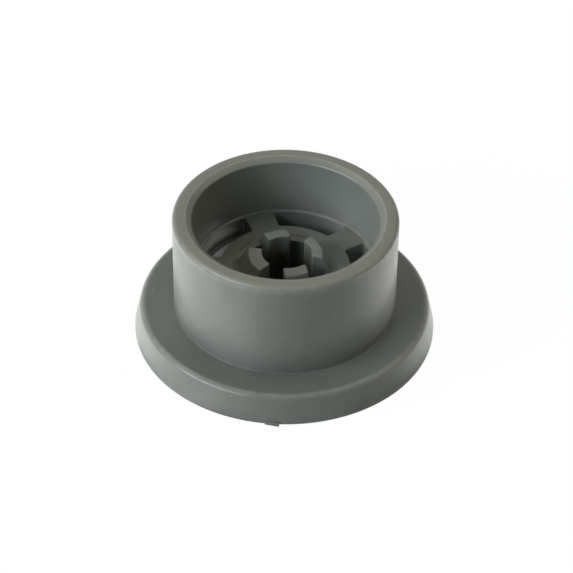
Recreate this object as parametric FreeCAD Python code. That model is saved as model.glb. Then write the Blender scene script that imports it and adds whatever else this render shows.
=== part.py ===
"""Wheel stud of a dishwasher rack: one injection moulding, standing on its flange.

A plain barrel, on which the rack's wheel turns, rises from a wider flange that keeps
the wheel in place. The barrel is an open cup. Five spokes inside it carry a hub, whose
split collar of four sprung fingers takes the round pin of the rack. Two of the fingers
are narrow and lie along Y, and two are wide and lie along X.
Origin: centre of the flange's underside. +Z: out of the cup's mouth. Units: mm.
The first spoke points along +Y.
"""
import FreeCAD, Part
import math
import os

from FreeCAD import Vector

# Barrel, the journal of the wheel
barrel_radius = 14.0
barrel_wall = 2.4
total_height = 17.4
rim_rounding = 0.55
rim_chamfer_width = 0.75
rim_chamfer_depth = 0.5

# Flange
flange_width = 5.0
flange_taper = 0.8
flange_height = 3.95
flange_land = 0.5
flange_edge_rounding = 0.8
flange_root_bevel = 0.3
foot_bevel = 0.25

# Web across the cup, and the space below it
cup_draft = 0.2
web_top = 9.4
web_thickness = 2.6
cavity_step = 0.5
cavity_draft = 0.15

# Collar of sprung fingers above the web, round the pin's socket
pin_bore_radius = 3.1
narrow_finger_width = 3.0
wide_finger_angle = 61.0
finger_height = 2.2
finger_tip_thickness = 1.5
finger_flare = 1.4
finger_tip_bevel = 0.25
finger_edge_bevel = 0.15
slot_depth = 2.1

# Hub below the web, closed at its end
hub_wall = 1.8
hub_draft = 0.3
hub_recess = 0.5
hub_end_bevel = 0.5
hub_floor = 1.9

# Five spokes, with an arc window between each two
spoke_count = 5
first_spoke_angle = 90.0
spoke_width_at_hub = 3.5
spoke_width_at_wall = 3.9
hub_shoulder_share = 0.29
window_ledge = 0.3
window_corner_rounding = 0.35
window_edge_bevel = 0.12

# Mark left on the flange's edge where the moulding was cut from its feed
gate_angle = 247.5
gate_width = 1.7
gate_height = 0.5
gate_root = 0.85
gate_stand = 0.35

# What follows from the sizes above
flange_radius = barrel_radius + flange_width
cup_radius = barrel_radius - barrel_wall
cup_root_radius = cup_radius - cup_draft
web_bottom = web_top - web_thickness
finger_top = web_top + finger_height
finger_tip_radius = pin_bore_radius + finger_tip_thickness
finger_root_radius = finger_tip_radius + finger_flare
slot_reach = pin_bore_radius + slot_depth
hub_radius = slot_reach + hub_wall
socket_floor = hub_recess + hub_floor
window_outer_radius = cup_root_radius - window_ledge
window_inner_radius = hub_radius + hub_shoulder_share * (window_outer_radius - hub_radius)
cavity_radius = window_outer_radius - cavity_step
past = 1.0
fine = 1e-6


def polar(radius, angle, height):
    """Point at a radius, an angle in degrees and a height."""
    turn = math.radians(angle)
    return Vector(radius * math.cos(turn), radius * math.sin(turn), height)


def arc(start, middle, end):
    """Rounded bend of an outline."""
    return Part.Arc(start, middle, end).toShape()


def bevel(start, middle, end):
    """Flat bend of an outline."""
    return Part.makeLine(start, end)


def outline_face(corners):
    """Face in the XZ plane from corners (radius, height) or (radius, height, bend, size of bend)."""
    points = [Vector(corner[0], 0, corner[1]) for corner in corners]
    bends = []
    for index, here in enumerate(points):
        if len(corners[index]) == 2:
            bends.append((here, here, here))
            continue
        bend, size = corners[index][2:]
        back = (points[index - 1] - here).normalize()
        ahead = (points[(index + 1) % len(points)] - here).normalize()
        half_angle = back.getAngle(ahead) / 2
        run = size if bend is bevel else size / math.tan(half_angle)
        reach = size / math.sin(half_angle) - size
        middle = here + (back + ahead).normalize() * reach
        bends.append((here + back * run, middle, here + ahead * run))
    edges = []
    for index, (start, middle, end) in enumerate(bends):
        if len(corners[index]) > 2:
            edges.append(corners[index][2](start, middle, end))
        following = bends[(index + 1) % len(bends)][0]
        edges.append(Part.makeLine(end, following))
    return Part.Face(Part.Wire(edges))


def turned_body():
    """The whole moulding as a solid of revolution, with the pin's socket but no windows or slots."""
    corners = [
        (0, hub_recess),
        (hub_radius - hub_draft, hub_recess, bevel, hub_end_bevel),
        (hub_radius, web_bottom),
        (cavity_radius, web_bottom),
        (cavity_radius + cavity_draft, 0),
        (flange_radius, 0, bevel, foot_bevel),
        (flange_radius, flange_land),
        (flange_radius - flange_taper, flange_height, arc, flange_edge_rounding),
        (barrel_radius, flange_height, bevel, flange_root_bevel),
        (barrel_radius, total_height, arc, rim_rounding),
        (cup_radius + rim_chamfer_width, total_height),
        (cup_radius, total_height - rim_chamfer_depth),
        (cup_root_radius, web_top),
        (finger_root_radius, web_top),
        (finger_tip_radius, finger_top, bevel, finger_tip_bevel),
        (pin_bore_radius, finger_top, bevel, finger_edge_bevel),
        (pin_bore_radius, socket_floor),
        (0, socket_floor),
    ]
    return outline_face(corners).revolve(Vector(0, 0, 0), Vector(0, 0, 1), 360)


def half_width_angle(width, radius):
    """Angle that half of a width spans at a radius."""
    return math.degrees(math.asin(width / 2 / radius))


def window_cutter(middle_angle):
    """Arc window between two spokes, with rounded corners, from the web's underside upwards."""
    half_pitch = 180.0 / spoke_count
    inner_half = half_pitch - half_width_angle(spoke_width_at_hub, window_inner_radius)
    outer_half = half_pitch - half_width_angle(spoke_width_at_wall, window_outer_radius)

    def bow(radius, half):
        ends = [polar(radius, middle_angle + side * half, web_bottom) for side in (-1, 1)]
        return ends, arc(ends[0], polar(radius, middle_angle, web_bottom), ends[1])

    inner_ends, inner_bow = bow(window_inner_radius, inner_half)
    outer_ends, outer_bow = bow(window_outer_radius, outer_half)
    sides = [Part.makeLine(inner_ends[side], outer_ends[side]) for side in (0, 1)]
    outline = Part.Wire([inner_bow, sides[1], outer_bow, sides[0]])
    prism = Part.Face(outline).extrude(Vector(0, 0, web_thickness + past))
    upright = [edge for edge in prism.Edges if edge.BoundBox.ZLength > web_thickness]
    return prism.makeFillet(window_corner_rounding, upright)


def window_mouth_edges(shape):
    """Edges of the windows in the plane of the web's top."""

    def on_mouth(point):
        radius = math.hypot(point.x, point.y)
        between = hub_radius < radius < window_outer_radius + fine
        return between and abs(point.z - web_top) < fine

    return [edge for edge in shape.Edges if all(on_mouth(vertex.Point) for vertex in edge.Vertexes)]


def slot_wedge(height, wider=0.0):
    """Plan of the slot between a narrow and a wide finger, with its sides moved apart if asked."""
    half_width = narrow_finger_width / 2 - wider
    half_angle = math.radians(wide_finger_angle / 2)
    reach = finger_root_radius + past

    def wide_side(x):
        return Vector(x, (x * math.sin(half_angle) - wider) / math.cos(half_angle), height)

    far_side = [Vector(reach, reach, height), Vector(half_width, reach, height)]
    corners = [wide_side(half_width), wide_side(reach), *far_side]
    return Part.makePolygon([*corners, corners[0]])


def slot_cutters():
    """Four slots from the socket outwards: short in the hub, and right through the collar above the web."""
    shoulder = finger_top - finger_edge_bevel
    in_hub = Part.Face(slot_wedge(socket_floor)).extrude(Vector(0, 0, web_top - socket_floor))
    in_hub = in_hub.common(Part.makeCylinder(slot_reach, web_top))
    in_collar = Part.Face(slot_wedge(web_top)).extrude(Vector(0, 0, shoulder - web_top))
    flare_top = slot_wedge(finger_top + past, finger_edge_bevel + past)
    flare = Part.makeLoft([slot_wedge(shoulder), flare_top], True, True)
    slot = in_hub.fuse([in_collar, flare])
    pair = [slot, slot.mirror(Vector(0, 0, 0), Vector(1, 0, 0))]
    return pair + [shape.mirror(Vector(0, 0, 0), Vector(0, 1, 0)) for shape in pair]


def gate_mark():
    """Small block at the foot that stands proud of the flange's land."""
    corner = Vector(flange_radius - gate_root, -gate_width / 2, 0)
    block = Part.makeBox(gate_root + gate_stand, gate_width, gate_height, corner)
    return block.rotate(Vector(0, 0, 0), Vector(0, 0, 1), gate_angle)


def build_stud():
    """One solid: the turned body, less the windows and slots, with the gate's mark."""
    spoke_pitch = 360.0 / spoke_count
    windows = [window_cutter(first_spoke_angle + spoke_pitch * (k + 0.5)) for k in range(spoke_count)]
    body = turned_body().cut(windows)
    body = body.makeChamfer(window_edge_bevel, window_mouth_edges(body))
    return body.cut(slot_cutters()).fuse(gate_mark()).removeSplitter()


stud = build_stud()
print("valid", stud.isValid(), "solids", len(stud.Solids), "volume", round(stud.Volume, 1))
os.makedirs("parts", exist_ok=True)
stud.exportStep("parts/wheel_stud.step")
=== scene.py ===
import math

import bmesh
import bpy
from mathutils import Matrix, Vector


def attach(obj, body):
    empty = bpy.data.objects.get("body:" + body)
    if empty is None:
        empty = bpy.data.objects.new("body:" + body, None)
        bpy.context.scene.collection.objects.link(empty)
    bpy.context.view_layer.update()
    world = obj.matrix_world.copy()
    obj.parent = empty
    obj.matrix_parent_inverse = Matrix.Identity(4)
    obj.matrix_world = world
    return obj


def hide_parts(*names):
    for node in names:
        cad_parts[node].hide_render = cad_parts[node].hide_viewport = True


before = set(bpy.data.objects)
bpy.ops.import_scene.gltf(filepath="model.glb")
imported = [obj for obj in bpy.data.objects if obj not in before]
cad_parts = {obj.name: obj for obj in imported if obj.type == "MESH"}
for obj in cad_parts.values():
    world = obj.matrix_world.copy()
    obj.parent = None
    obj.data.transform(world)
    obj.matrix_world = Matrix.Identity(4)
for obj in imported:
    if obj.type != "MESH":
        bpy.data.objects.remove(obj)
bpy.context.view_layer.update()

# The stud is one injection moulding in grey plastic. Its foot, flange, barrel, cup, web and
# collar are turned forms, so their outline is drawn once in the XZ plane, its corners are
# softened as the mould's are, and it is spun round the axis.
mm = 0.001
corner_steps, spin_steps = 5, 240
turned_corners = [
    # radius, height and rounding, in millimetres
    (0.0, 0.5, 0.0),
    (6.7, 0.5, 0.5),
    (7.0, 6.8, 0.4),
    (10.6, 6.8, 0.12),
    (10.75, 0.0, 0.15),
    (19.0, 0.0, 0.25),
    (19.0, 0.5, 0.6),
    (18.2, 3.95, 0.8),
    (14.0, 3.95, 0.06),
    (14.0, 17.4, 0.55),
    (12.35, 17.4, 0.2),
    (11.6, 16.9, 0.3),
    (11.4, 9.4, 0.1),
    (6.0, 9.4, 1.4),
    (4.6, 11.6, 0.3),
    (0.0, 11.6, 0.0),
]


def soften_corner(bm, corner, rounding, segments):
    """Rounds a corner of a drawn outline to a radius."""
    arms = [(edge.other_vert(corner).co - corner.co).normalized() for edge in corner.link_edges]
    run = rounding / math.tan(arms[0].angle(arms[1]) / 2)
    bmesh.ops.bevel(bm, geom=[corner], offset=run, offset_type="OFFSET", segments=segments, profile=0.5,
                    affect="VERTICES", clamp_overlap=False, material=-1)


def drawn_outline(bm, corners, segments):
    """Closed line through corners (x, z, rounding), each of them softened."""
    drawn = [bm.verts.new((x * mm, 0.0, z * mm)) for x, z, rounding in corners]
    for start, end in zip(drawn, drawn[1:] + drawn[:1]):
        bm.edges.new((start, end))
    for corner, (x, z, rounding) in zip(drawn, corners):
        if rounding:
            soften_corner(bm, corner, rounding * mm, segments)


def finished_mesh(bm, name):
    """Object of a closed shape, with its doubles merged and its faces turned outwards."""
    bmesh.ops.remove_doubles(bm, verts=bm.verts, dist=1e-7)
    bmesh.ops.recalc_face_normals(bm, faces=bm.faces)
    mesh = bpy.data.meshes.new(name)
    bm.to_mesh(mesh)
    bm.free()
    made = bpy.data.objects.new(name, mesh)
    bpy.context.scene.collection.objects.link(made)
    return made


turned = bmesh.new()
drawn_outline(turned, turned_corners, corner_steps)
on_axis = [edge for edge in turned.edges if max(abs(vert.co.x) for vert in edge.verts) < 1e-9]
bmesh.ops.delete(turned, geom=on_axis, context="EDGES")
bmesh.ops.spin(turned, geom=turned.verts[:] + turned.edges[:], cent=(0, 0, 0), axis=(0, 0, 1),
               angle=2 * math.pi, steps=spin_steps, use_merge=True)
stud = finished_mesh(turned, "stud_moulding")


def carved(piece, tool, operation="DIFFERENCE"):
    """Cuts a tool out of a piece, or welds it on, and takes the tool away."""
    modifier = piece.modifiers.new("carve", "BOOLEAN")
    modifier.operation = operation
    modifier.solver = "EXACT"
    modifier.object = tool
    shape = bpy.data.meshes.new_from_object(piece.evaluated_get(bpy.context.evaluated_depsgraph_get()))
    piece.modifiers.clear()
    piece.data = shape
    bpy.data.objects.remove(tool)


def extruded(bm, face, level):
    """Extrudes a core's face to a height, takes the old face away and gives the new one."""
    made = bmesh.ops.extrude_face_region(bm, geom=[face])["geom"]
    bmesh.ops.delete(bm, geom=[face], context="FACES_ONLY")
    far = [item for item in made if isinstance(item, bmesh.types.BMFace)][0]
    for vert in far.verts:
        vert.co.z = level * mm
    return far


def flared_core(bm, mouth, top, flare, foot):
    """Makes a core of its mouth: straight up to a top, down through a flare, then on to its foot."""
    made = bmesh.ops.extrude_face_region(bm, geom=[mouth])["geom"]
    for vert in made:
        if isinstance(vert, bmesh.types.BMVert):
            vert.co.z = top * mm
    flare_steps = 4
    for step in range(flare_steps):
        turn, following = (math.pi / 2 * (step + add) / flare_steps for add in (0, 1))
        inset = flare * (math.sin(following) - math.sin(turn))
        sink = flare * (math.cos(turn) - math.cos(following))
        bmesh.ops.inset_region(bm, faces=[mouth], thickness=inset * mm, use_even_offset=True)
        bmesh.ops.translate(bm, vec=(0, 0, -sink * mm), verts=mouth.verts)
    return extruded(bm, mouth, foot)


# Five curved windows pass through the web and leave five spokes between the hub and the wall.
# Each window's mould core is drawn flat, with its corners and its flared mouth, and is then
# bent round the axis.
window_inner, window_outer = 8.2, 11.1
window_middle = (window_inner + window_outer) / 2
spoke_count, spoke_at_hub, spoke_at_wall = 5, 3.5, 3.9
corner_rounding, mouth_rounding = 0.35, 0.16
window_mouth, window_past, window_foot = 9.41, 10.9, 6.8
slice_width, slices_each_way = 0.27, 16


def window_core(middle_angle):
    """Core of one window: a flat wedge-ended bar with a flared top, bent round the axis."""
    half_at = {}
    for radius, spoke_width in ((window_inner, spoke_at_hub), (window_outer, spoke_at_wall)):
        half_angle = math.pi / spoke_count - math.asin(spoke_width / 2 / radius)
        half_at[radius] = half_angle * window_middle + mouth_rounding
    low, high = window_inner - mouth_rounding, window_outer + mouth_rounding
    flat = [(-half_at[window_inner], low), (half_at[window_inner], low),
            (half_at[window_outer], high), (-half_at[window_outer], high)]
    bm = bmesh.new()
    corners = [bm.verts.new((x * mm, y * mm, window_mouth * mm)) for x, y in flat]
    bm.faces.new(corners)
    bmesh.ops.bevel(bm, geom=corners, offset=(corner_rounding + mouth_rounding) * mm, offset_type="OFFSET",
                    segments=corner_steps, profile=0.5, affect="VERTICES", clamp_overlap=False, material=-1)
    flared_core(bm, bm.faces[:][0], window_past, mouth_rounding, window_foot)
    for cut in range(-slices_each_way, slices_each_way + 1):
        bmesh.ops.bisect_plane(bm, geom=bm.verts[:] + bm.edges[:] + bm.faces[:], dist=1e-8,
                               plane_co=(cut * slice_width * mm, 0, 0), plane_no=(1, 0, 0))
    for vert in bm.verts:
        radius, angle = vert.co.y, middle_angle + vert.co.x / (window_middle * mm)
        vert.co.x, vert.co.y = radius * math.cos(angle), radius * math.sin(angle)
    return finished_mesh(bm, "window_core")


for spoke in range(spoke_count):
    carved(stud, window_core(math.radians(90 + 360 / spoke_count * (spoke + 0.5))))

# The pin's socket, a little off the collar's middle, and four slots part the collar into sprung
# fingers: two narrow ones along Y and two wide ones along X. One core makes them. Above the web
# its slots run out through the collar, and in the hub they stop short of the wall.
bore_radius, slot_end, slot_reach, slot_floor = 3.1, 5.2, 7.2, 9.402
narrow_half_width, wide_half_angle = 1.5, math.radians(30.5)
tip_rounding, upright_rounding = 0.2, 0.32
socket_mouth_level, socket_past, socket_end, web_level = 11.61, 12.4, 2.4, 9.4
bore_steps, slot_steps = 12, 8
mouth_radius = bore_radius + tip_rounding
bore_shift = Vector((0.24, 0.06))
quarters = ((1, 1), (-1, 1), (-1, -1), (1, -1))


def wide_side(radius):
    """Point at a radius where the mouth of the core meets a wide finger."""
    turn = wide_half_angle - math.asin(tip_rounding / radius)
    return Vector((radius * math.cos(turn), radius * math.sin(turn)))


def narrow_side(radius):
    """Point at a radius where the mouth of the core meets a narrow finger."""
    x = narrow_half_width - tip_rounding
    return Vector((x, math.sqrt(radius ** 2 - x ** 2)))


slot_runs = []
for along_x, along_y in quarters:
    run = [wide_side(mouth_radius), wide_side(slot_end), wide_side(slot_reach),
           narrow_side(slot_reach), narrow_side(slot_end), narrow_side(mouth_radius)]
    run = [Vector((point.x * along_x, point.y * along_y)) for point in run]
    if along_x != along_y:
        run.reverse()
    slot_runs.append(run)
mouth_corners = []
for run, following in zip(slot_runs, slot_runs[1:] + slot_runs[:1]):
    for point in run:
        at_bore = point in (run[0], run[-1])
        moved = point + bore_shift if at_bore else point
        mouth_corners.append((moved.x, moved.y, upright_rounding - tip_rounding if at_bore else 0))
    start, span = math.atan2(run[-1].y, run[-1].x), run[-1].angle(following[0])
    for step in range(1, bore_steps):
        turn = start + span * step / bore_steps
        moved = Vector((math.cos(turn), math.sin(turn))) * mouth_radius + bore_shift
        mouth_corners.append((moved.x, moved.y, 0))
socket = bmesh.new()
drawn_outline(socket, mouth_corners, corner_steps)
bmesh.ops.rotate(socket, cent=(0, 0, 0), matrix=Matrix.Rotation(-math.pi / 2, 3, "X"), verts=socket.verts)
bmesh.ops.translate(socket, vec=(0, 0, socket_mouth_level * mm), verts=socket.verts)
socket_mouth = bmesh.ops.contextual_create(socket, geom=socket.edges[:])["faces"][0]
level = flared_core(socket, socket_mouth, socket_past, tip_rounding, slot_floor)
for along_x, along_y in quarters:
    sides = [vert for vert in level.verts if 4.5 * mm < vert.co.xy.length < 6 * mm
             and vert.co.x * along_x > 0 and vert.co.y * along_y > 0]
    start, end = (math.atan2(vert.co.y, vert.co.x) for vert in sides)
    turns = [start + (end - start) * step / slot_steps for step in range(1, slot_steps)]
    bend = [(slot_end * mm * math.cos(turn), slot_end * mm * math.sin(turn), slot_floor * mm)
            for turn in turns]
    parted = bmesh.utils.face_split(level, *sides, coords=bend)[0]
    level = max(level, parted, key=lambda face: face.calc_area())
extruded(socket, level, socket_end)
carved(stud, finished_mesh(socket, "socket_core"))
# The core's slots end a hair above the web, so that they don't cut along it, and are levelled to it here.
level_reach = 0.0005 * mm
for vert in stud.data.vertices:
    if abs(vert.co.z - slot_floor * mm) < level_reach:
        vert.co.z = web_level * mm

# A scar of plastic stays on the flange's lower edge, where the moulding was snapped off its
# feed. It is a small bevelled block, thickest at one end, and is welded on.
scar_size, scar_middle, scar_thinner = (1.3, 1.8, 0.5), (18.7, 0, 0.27), 0.28
scar = bmesh.new()
bmesh.ops.create_cube(scar, size=mm)
bmesh.ops.scale(scar, vec=scar_size, verts=scar.verts)
bmesh.ops.translate(scar, vec=[place * mm for place in scar_middle], verts=scar.verts)
for vert in scar.verts:
    if vert.co.y < 0 and vert.co.x > 19 * mm:
        vert.co.x -= scar_thinner * mm
bmesh.ops.bevel(scar, geom=scar.edges[:], offset=0.06 * mm, offset_type="OFFSET", segments=2, profile=0.5,
                affect="EDGES", clamp_overlap=True, material=-1)
bmesh.ops.rotate(scar, cent=(0, 0, 0), matrix=Matrix.Rotation(math.radians(247.5), 3, "Z"), verts=scar.verts)
carved(stud, finished_mesh(scar, "feed_scar"), "UNION")

# The moulding is shaded smooth between its sharp edges. The floors of the slots stay flat.
stud_mesh, slot_floor_reach = stud.data, 7 * mm
stud_mesh.shade_smooth()
stud_mesh.set_sharp_from_angle(angle=math.radians(32))
for side in stud_mesh.polygons:
    heights = [stud_mesh.vertices[corner].co.z for corner in side.vertices]
    in_web_plane = max(abs(height - web_level * mm) for height in heights) < level_reach
    if in_web_plane and side.center.xy.length < slot_floor_reach:
        side.use_smooth = False
settled = stud.modifiers.new("settled_normals", "WEIGHTED_NORMAL")
settled.mode = "FACE_AREA"
settled.weight = 50
settled.keep_sharp = True

# The plastic is a mid grey with a touch of green, satin from the mould. It is faintly clouded and
# mottled, and a few grains of dust lie on it. Its colour also carries painted light: a darker
# outside, a paler cup wall, a paler and warmer rim top, painted shade deep in the bore, and
# painted highlights along its edges.
grey = bpy.data.materials.new("grey_plastic")
grey.use_nodes = True
nodes, links = grey.node_tree.nodes, grey.node_tree.links
shader = nodes["Principled BSDF"]
shader.inputs["IOR"].default_value = 1.45
surface_point = nodes.new("ShaderNodeTexCoord").outputs["Object"]


def grain(size, detail):
    """Noise whose lumps are about a size in millimetres."""
    noise = nodes.new("ShaderNodeTexNoise")
    noise.inputs["Scale"].default_value = 1 / (size * mm)
    noise.inputs["Detail"].default_value = detail
    links.new(surface_point, noise.inputs["Vector"])
    return noise.outputs["Fac"]


def ranged(value, span, result, way="LINEAR"):
    """Turns a span of a value into another one, held at its ends."""
    node = nodes.new("ShaderNodeMapRange")
    node.interpolation_type = way
    for inlet, number in zip(("From Min", "From Max", "To Min", "To Max"), span + result):
        node.inputs[inlet].default_value = number
    links.new(value, node.inputs["Value"])
    return node.outputs["Result"]


def joined(operation, first, second):
    """Joins two values by an operation."""
    node = nodes.new("ShaderNodeMath")
    node.operation = operation
    links.new(first, node.inputs[0])
    links.new(second, node.inputs[1])
    return node.outputs["Value"]


def tinted(amount, under, over):
    """Colour between two, each a colour or the output of a node."""
    node = nodes.new("ShaderNodeMix")
    node.data_type = "RGBA"
    links.new(amount, node.inputs["Factor"])
    for inlet, colour in ((node.inputs[6], under), (node.inputs[7], over)):
        if isinstance(colour, tuple):
            inlet.default_value = (*colour, 1.0)
        else:
            links.new(colour, inlet)
    return node.outputs[2]


split = nodes.new("ShaderNodeSeparateXYZ")
links.new(surface_point, split.inputs["Vector"])
plan = nodes.new("ShaderNodeCombineXYZ")
links.new(split.outputs["X"], plan.inputs["X"])
links.new(split.outputs["Y"], plan.inputs["Y"])
from_axis = nodes.new("ShaderNodeVectorMath")
from_axis.operation = "LENGTH"
links.new(plan.outputs["Vector"], from_axis.inputs[0])
outline_point = nodes.new("ShaderNodeCombineXYZ")
links.new(from_axis.outputs["Value"], outline_point.inputs["X"])
links.new(split.outputs["Z"], outline_point.inputs["Y"])

# Painted light and shade: below the rim the outside gets a darker grey, the cup's wall a paler one and the
# hub one between, as light falls on them.
below_rim = ranged(split.outputs["Z"], (17.0 * mm, 17.35 * mm), (1.0, 0.0), "SMOOTHSTEP")
outermost = ranged(from_axis.outputs["Value"], (12.9 * mm, 13.9 * mm), (0.0, 1.0))
painted_outside_shade = joined("MULTIPLY", below_rim, outermost)
clouds = ranged(grain(6.0, 3.0), (0.36, 0.64), (0.0, 1.0), "SMOOTHSTEP")
outside = tinted(clouds, (0.126, 0.138, 0.131), (0.146, 0.159, 0.151))
painted_lit_cup_wall = tinted(clouds, (0.168, 0.184, 0.174), (0.184, 0.200, 0.188))
hub = tinted(clouds, (0.146, 0.159, 0.149), (0.160, 0.174, 0.162))
at_wall = ranged(from_axis.outputs["Value"], (11.0 * mm, 11.3 * mm), (0.0, 1.0))
skin = tinted(painted_outside_shade, tinted(at_wall, hub, painted_lit_cup_wall), outside)
# Painted reflection: the rim's top is paler and warmer, as warm light from behind falls on it.
painted_rim_light = ranged(split.outputs["Z"], (17.0 * mm, 17.38 * mm), (0.0, 0.6), "SMOOTHSTEP")
skin = tinted(painted_rim_light, skin, (0.222, 0.222, 0.190))
# Painted shade: round the bore the fingers darken towards the bottom of the socket.
near_bore = ranged(from_axis.outputs["Value"], (3.6 * mm, 4.0 * mm), (1.0, 0.0))
painted_bore_shade = joined("MULTIPLY", near_bore, ranged(split.outputs["Z"], (8.4 * mm, 11.5 * mm), (0.7, 0.0)))
skin = tinted(painted_bore_shade, skin, (0.030, 0.030, 0.024))
mottle = ranged(grain(0.7, 2.0), (0.1, 0.9), (0.0, 0.2))
skin = tinted(mottle, skin, (0.21, 0.222, 0.205))

# Painted highlights: pale bands along rounded edges and the fingers' inner uprights, where light catches
# them. The same bands are a little rougher.
highlight_rings = (
    # radius and height of an edge, how far its painted highlight reaches, and how strong it is
    (12.38, 17.4, 0.17, 0.95),
    (11.62, 16.85, 0.18, 0.3),
    (13.95, 16.95, 0.9, 0.4),
    (17.85, 3.84, 0.55, 0.4),
    (11.33, 9.36, 0.2, 0.45),
    (4.55, 11.5, 0.22, 0.4),
    (18.93, 0.08, 0.25, 0.5),
)
painted_highlights = None
for radius, height, reach, strength in highlight_rings:
    gap = nodes.new("ShaderNodeVectorMath")
    gap.operation = "DISTANCE"
    gap.inputs[1].default_value = (radius * mm, height * mm, 0.0)
    links.new(outline_point.outputs["Vector"], gap.inputs[0])
    edge = ranged(gap.outputs["Value"], (0.0, reach * mm), (strength, 0.0), "SMOOTHSTEP")
    painted_highlights = joined("MAXIMUM", painted_highlights, edge) if painted_highlights else edge
finger_uprights = [(x * along_x, y * along_y) for x, y in ((1.5, 2.71), (2.67, 1.57))
                   for along_x, along_y in quarters]
for x, y in finger_uprights:
    gap = nodes.new("ShaderNodeVectorMath")
    gap.operation = "DISTANCE"
    gap.inputs[1].default_value = (x * mm + bore_shift.x * mm, y * mm + bore_shift.y * mm, 0.0)
    links.new(plan.outputs["Vector"], gap.inputs[0])
    upright = ranged(gap.outputs["Value"], (0.05 * mm, 0.32 * mm), (0.6, 0.0), "SMOOTHSTEP")
    painted_highlights = joined("MAXIMUM", painted_highlights, upright)
painted_highlights = joined("MULTIPLY", painted_highlights, ranged(grain(1.1, 3.0), (0.36, 0.62), (0.35, 1.0)))
skin = tinted(painted_highlights, skin, (0.30, 0.315, 0.292))

dust = nodes.new("ShaderNodeTexVoronoi")
dust.inputs["Scale"].default_value = 1 / (2.3 * mm)
links.new(surface_point, dust.inputs["Vector"])
specks = ranged(dust.outputs["Distance"], (0.026, 0.042), (1.0, 0.0), "SMOOTHSTEP")
skin = tinted(specks, skin, (0.38, 0.375, 0.33))
links.new(skin, shader.inputs["Base Color"])

sheen = ranged(grain(1.6, 4.0), (0.3, 0.7), (0.285, 0.36))
links.new(joined("ADD", sheen, ranged(painted_highlights, (0.0, 1.0), (0.0, 0.1))), shader.inputs["Roughness"])
pits = nodes.new("ShaderNodeBump")
pits.inputs["Distance"].default_value = 0.02 * mm
pits.inputs["Strength"].default_value = 0.15
links.new(grain(0.4, 1.0), pits.inputs["Height"])
swell = nodes.new("ShaderNodeBump")
swell.inputs["Distance"].default_value = 0.03 * mm
swell.inputs["Strength"].default_value = 0.5
links.new(grain(5.0, 1.0), swell.inputs["Height"])
links.new(pits.outputs["Normal"], swell.inputs["Normal"])
links.new(swell.outputs["Normal"], shader.inputs["Normal"])
stud.data.materials.append(grey)
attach(stud, "root")
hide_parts("wheel_stud")

# The stud stands on a white sheet, which is plain white to the camera and still takes a faint
# shadow from the lamps. In reflections it is brighter round the stud than in front of it.
look_azimuth = 71.5
picture_right = math.radians(look_azimuth - 90)
floor_bm = bmesh.new()
bmesh.ops.create_grid(floor_bm, x_segments=1, y_segments=1, size=1.5)
floor = finished_mesh(floor_bm, "floor")
sheet = bpy.data.materials.new("white_sheet")
sheet.use_nodes = True
nodes, links = sheet.node_tree.nodes, sheet.node_tree.links
nodes.clear()
surface_point = nodes.new("ShaderNodeTexCoord").outputs["Object"]


def beyond(azimuth, soft):
    """How far a point of the floor lies on the side of the stud that an azimuth points to."""
    node = nodes.new("ShaderNodeVectorMath")
    node.operation = "DOT_PRODUCT"
    turn = math.radians(azimuth) + picture_right
    node.inputs[1].default_value = (math.cos(turn), math.sin(turn), 0.0)
    links.new(surface_point, node.inputs[0])
    return ranged(node.outputs["Value"], (-soft * mm, soft * mm), (0.0, 1.0), "SMOOTHSTEP")


in_front = joined("MULTIPLY", beyond(331.5, 2.0), beyond(248.0, 8.0))
reflected = ranged(in_front, (0.0, 1.0), (1.25, 0.55))
paper = nodes.new("ShaderNodeBsdfDiffuse")
paper.inputs["Color"].default_value = (0.86, 0.86, 0.85, 1.0)
white = nodes.new("ShaderNodeEmission")
seen = nodes.new("ShaderNodeLightPath")
in_reflection = joined("MULTIPLY", seen.outputs["Is Glossy Ray"], reflected)
to_camera = ranged(seen.outputs["Is Camera Ray"], (0.0, 1.0), (0.0, 1.02))
links.new(joined("ADD", to_camera, in_reflection), white.inputs["Strength"])
direct = joined("MAXIMUM", seen.outputs["Is Camera Ray"], seen.outputs["Is Glossy Ray"])
blend = nodes.new("ShaderNodeMixShader")
surface = nodes.new("ShaderNodeOutputMaterial")
links.new(ranged(direct, (0.0, 1.0), (0.0, 0.95)), blend.inputs[0])
links.new(paper.outputs[0], blend.inputs[1])
links.new(white.outputs[0], blend.inputs[2])
links.new(blend.outputs[0], surface.inputs["Surface"])
floor.data.materials.append(sheet)

# The room is white to the camera and in reflections, and dimmer as a light.
world = bpy.data.worlds.new("studio")
bpy.context.scene.world = world
world.use_nodes = True
nodes, links = world.node_tree.nodes, world.node_tree.links
nodes.clear()
room_seen = nodes.new("ShaderNodeLightPath")
room_direct = nodes.new("ShaderNodeMath")
room_direct.operation = "MAXIMUM"
dim = nodes.new("ShaderNodeBackground")
dim.inputs["Strength"].default_value = 0.08
bright = nodes.new("ShaderNodeBackground")
room_blend = nodes.new("ShaderNodeMixShader")
room = nodes.new("ShaderNodeOutputWorld")
links.new(room_seen.outputs["Is Camera Ray"], room_direct.inputs[0])
links.new(room_seen.outputs["Is Glossy Ray"], room_direct.inputs[1])
links.new(room_direct.outputs[0], room_blend.inputs[0])
links.new(dim.outputs[0], room_blend.inputs[1])
links.new(bright.outputs[0], room_blend.inputs[2])
links.new(room_blend.outputs[0], room.inputs["Surface"])


# Two wide cool lamps stand at the left front. Weaker and warmer ones stand high behind the stud
# and at its right, and the lit table glows up round it.
def towards(azimuth, elevation):
    """Direction of a lamp: azimuth from the picture's right, 90 degrees away from the camera."""
    turn, rise = math.radians(azimuth) + picture_right, math.radians(elevation)
    return Vector((math.cos(turn) * math.cos(rise), math.sin(turn) * math.cos(rise), math.sin(rise)))


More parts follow.
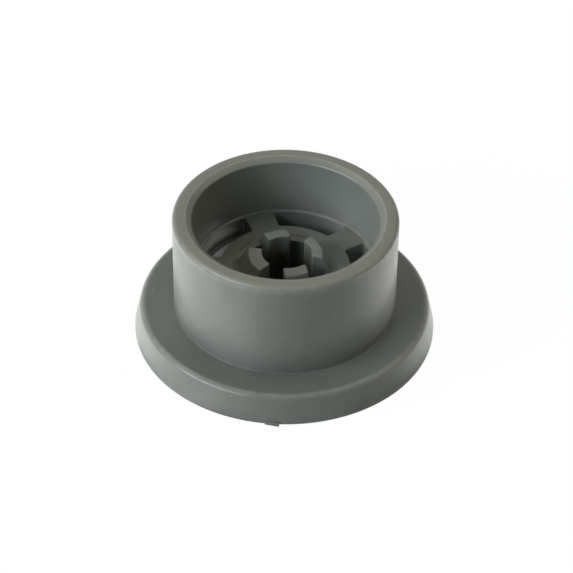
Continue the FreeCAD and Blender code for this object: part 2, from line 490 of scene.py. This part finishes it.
def placed_lamp(name, kind, colour, strength):
    """Lamp of a colour, which the camera doesn't see."""
    bulb = bpy.data.lights.new(name, kind)
    bulb.color = colour
    bulb.energy = strength
    lamp = bpy.data.objects.new(name, bulb)
    lamp.visible_camera = False
    bpy.context.scene.collection.objects.link(lamp)
    return lamp


soft_lamps = (
    # name, azimuth, elevation, width in degrees, colour, strength
    ("key_left", 200, 25, 25, (0.92, 0.935, 1.0), 1.65),
    ("key_front", 225, 27, 25, (0.91, 1.0, 0.97), 1.15),
    ("high_back_left", 150, 55, 40, (1.0, 0.9, 0.66), 0.55),
    ("high_back_right", 30, 55, 40, (0.95, 1.0, 0.81), 0.36),
    ("right", 0, 30, 40, (1.0, 0.87, 0.53), 0.30),
)
for name, azimuth, elevation, width, colour, strength in soft_lamps:
    lamp = placed_lamp(name, "SUN", colour, strength)
    lamp.data.angle = math.radians(width)
    lamp.rotation_mode = "QUATERNION"
    lamp.rotation_quaternion = towards(azimuth, elevation).to_track_quat("Z", "Y")
glow_power, glow_length, glow_width, glow_distance, glow_height = 0.004, 41, 31, 39.5, 0.3
for azimuth, glow in ((0, 2.7), (45, 2.6), (180, 4.3), (225, 1.0)):
    lamp = placed_lamp("table_glow", "AREA", (1.0, 0.99, 0.93), glow * glow_power)
    lamp.data.shape = "RECTANGLE"
    lamp.data.size, lamp.data.size_y = glow_length * mm, glow_width * mm
    lamp.visible_glossy = False
    middle = towards(azimuth, 0) * glow_distance * mm
    lamp.location = (middle.x, middle.y, glow_height * mm)
    lamp.rotation_euler = (math.pi, 0, math.radians(azimuth) + picture_right)

# The camera looks down on the stud from its front, a little rolled, with a long lens.
look, tilt, roll = (math.radians(value) for value in (look_azimuth, 39.93, 0.83))
away = Vector((math.cos(look), math.sin(look), 0))
right = Vector((math.sin(look), -math.cos(look), 0))
forward = away * math.cos(tilt) - Vector((0, 0, math.sin(tilt)))
up = away * math.sin(tilt) + Vector((0, 0, math.cos(tilt)))
camera_right = right * math.cos(roll) + up * math.sin(roll)
camera_up = up * math.cos(roll) - right * math.sin(roll)
lens = bpy.data.cameras.new("camera")
lens.lens = 143.2
lens.sensor_width = 36
lens.clip_start = 0.01
camera = bpy.data.objects.new("camera", lens)
bpy.context.scene.collection.objects.link(camera)
place = Matrix((camera_right, camera_up, -forward)).transposed().to_4x4()
place.translation = right * 0.21 * mm + up * 4.65 * mm - forward * 291.2 * mm
camera.matrix_world = place
bpy.context.scene.camera = camera

bpy.context.scene.view_settings.view_transform = "Standard"
